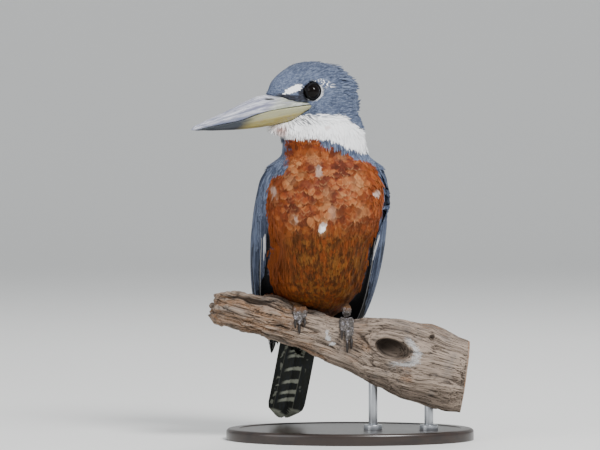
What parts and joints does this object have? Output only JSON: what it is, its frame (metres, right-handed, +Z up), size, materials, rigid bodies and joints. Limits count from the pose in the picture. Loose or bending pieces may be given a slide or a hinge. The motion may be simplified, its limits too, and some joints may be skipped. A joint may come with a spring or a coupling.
{
  "type": "ringed kingfisher on perch",
  "caption": "Life-size male ringed kingfisher, wings folded and head turned to its right, gripping a cut length of driftwood that a plain display stand holds up.",
  "frame": {"origin": "on the underside of the stand's base, below the bird's grip on the perch", "axes": "+Z up; -Y the way that the breast faces; +X towards the bird's own left, so the bill points to -X and -Y"},
  "size_m": [0.222, 0.1503, 0.2983],
  "materials": {
    "rufous_feathers": "soft overlapping feathers, rufous with pale centres",
    "white_feathers": "soft overlapping feathers, white",
    "slate_feathers": "soft overlapping feathers, slate blue with dark shafts",
    "flight_feathers": "stiff flight feathers, blackish with white bars",
    "upper_horn": "horn, satin, grey streaked with slate",
    "lower_horn": "horn, satin, olive at the base and dark in front",
    "eye": "wet gloss, dark brown",
    "foot_skin": "scaly skin, grey",
    "claw_horn": "horn, satin, near black",
    "driftwood": "weathered bare wood, grey brown",
    "plinth": "black lacquer, satin",
    "steel": "brushed"
  },
  "bodies": {
    "root": {"claw_left_hind": "claw_horn", "claw_left_inner": "claw_horn", "claw_left_middle": "claw_horn", "claw_left_outer": "claw_horn", "claw_right_hind": "claw_horn", "claw_right_inner": "claw_horn", "claw_right_middle": "claw_horn", "claw_right_outer": "claw_horn", "crest": "slate_feathers", "eye_left": "eye", "eye_right": "eye", "head": "slate_feathers", "lower_bill": "lower_horn", "neck": "white_feathers", "perch": "driftwood", "stand_base": "plinth", "stand_rod_1": "steel", "stand_rod_2": "steel", "tail": "flight_feathers", "tarsus_left": "foot_skin", "tarsus_right": "foot_skin", "toe_left_hind": "foot_skin", "toe_left_inner": "foot_skin", "toe_left_middle": "foot_skin", "toe_left_outer": "foot_skin", "toe_right_hind": "foot_skin", "toe_right_inner": "foot_skin", "toe_right_middle": "foot_skin", "toe_right_outer": "foot_skin", "trunk": "rufous_feathers", "upper_bill": "upper_horn", "wing_left_coverts": "slate_feathers", "wing_left_primaries": "flight_feathers", "wing_left_secondaries": "slate_feathers", "wing_right_coverts": "slate_feathers", "wing_right_primaries": "flight_feathers", "wing_right_secondaries": "slate_feathers"}
  },
  "joints": []
}
